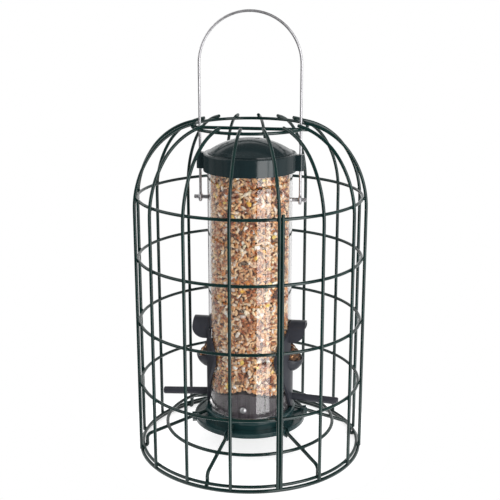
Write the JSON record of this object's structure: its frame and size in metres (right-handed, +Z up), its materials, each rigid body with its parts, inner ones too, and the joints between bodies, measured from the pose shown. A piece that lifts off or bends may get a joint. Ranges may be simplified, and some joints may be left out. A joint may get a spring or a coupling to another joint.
{
  "type": "bird feeder",
  "caption": "Hanging seed tube feeder with hooded ports, perches and a tray, inside a lift-off domed wire cage that keeps squirrels out.",
  "frame": {"origin": "on the floor under the axis of the tube and the cage", "axes": "+Z up along the tube's axis, X along the ports, the perches and the bail, -Y the side that the picture shows"},
  "size_m": [0.1798, 0.1798, 0.3428],
  "materials": {
    "green_wire": "gloss powder coat",
    "green_plastic": "gloss",
    "dark_plastic": "satin",
    "grey_plastic": "satin",
    "clear_plastic": "clear",
    "bright_steel": "bright zinc",
    "seed": "matte"
  },
  "bodies": {
    "feeder": {"base_ring": "green_wire", "base_spoke_1": "green_wire", "base_spoke_2": "green_wire", "base_spoke_3": "green_wire", "base_spoke_4": "green_wire", "base_spoke_5": "green_wire", "base_spoke_6": "green_wire", "base_inner_ring": "green_wire", "seed_tray": "green_plastic", "tray_washer": "bright_steel", "tray_screw": "bright_steel", "base_plug": "grey_plastic", "seed_tube": "clear_plastic", "tube_screws": "bright_steel", "port_left": "dark_plastic", "port_right": "dark_plastic", "perch_left": "dark_plastic", "perch_right": "dark_plastic", "seeds_in_tube": "seed", "seeds_left_cup": "seed", "seeds_right_cup": "seed", "cross_rod": "bright_steel", "bail": "bright_steel"},
    "lid": {"lid": "green_plastic"},
    "cage": {"cage_bar_1": "green_wire", "cage_bar_2": "green_wire", "cage_bar_3": "green_wire", "cage_bar_4": "green_wire", "cage_bar_5": "green_wire", "cage_bar_6": "green_wire", "cage_bar_7": "green_wire", "cage_bar_8": "green_wire", "cage_bar_9": "green_wire", "cage_bar_10": "green_wire", "cage_bar_11": "green_wire", "cage_bar_12": "green_wire", "cage_bar_13": "green_wire", "cage_bar_14": "green_wire", "cage_bar_15": "green_wire", "cage_bar_16": "green_wire", "cage_seam_bar": "green_wire", "cage_hoop_1": "green_wire", "cage_hoop_2": "green_wire", "cage_hoop_3": "green_wire", "cage_hoop_4": "green_wire", "cage_hoop_5": "green_wire", "cage_top_ring": "green_wire", "cage_cross_bar": "green_wire"}
  },
  "joints": [
    {"name": "cage_lift", "type": "slide", "parent": "feeder", "child": "cage", "axis": [0, 0, 1], "range_m": [0, 0.08]},
    {"name": "lid_lift", "type": "slide", "parent": "feeder", "child": "lid", "axis": [0, 0, 1], "range_m": [0, 0.064]}
  ],
  "couplings": [
    {"joint": "lid_lift", "follows": "cage_lift", "ratio": 0.8}
  ]
}
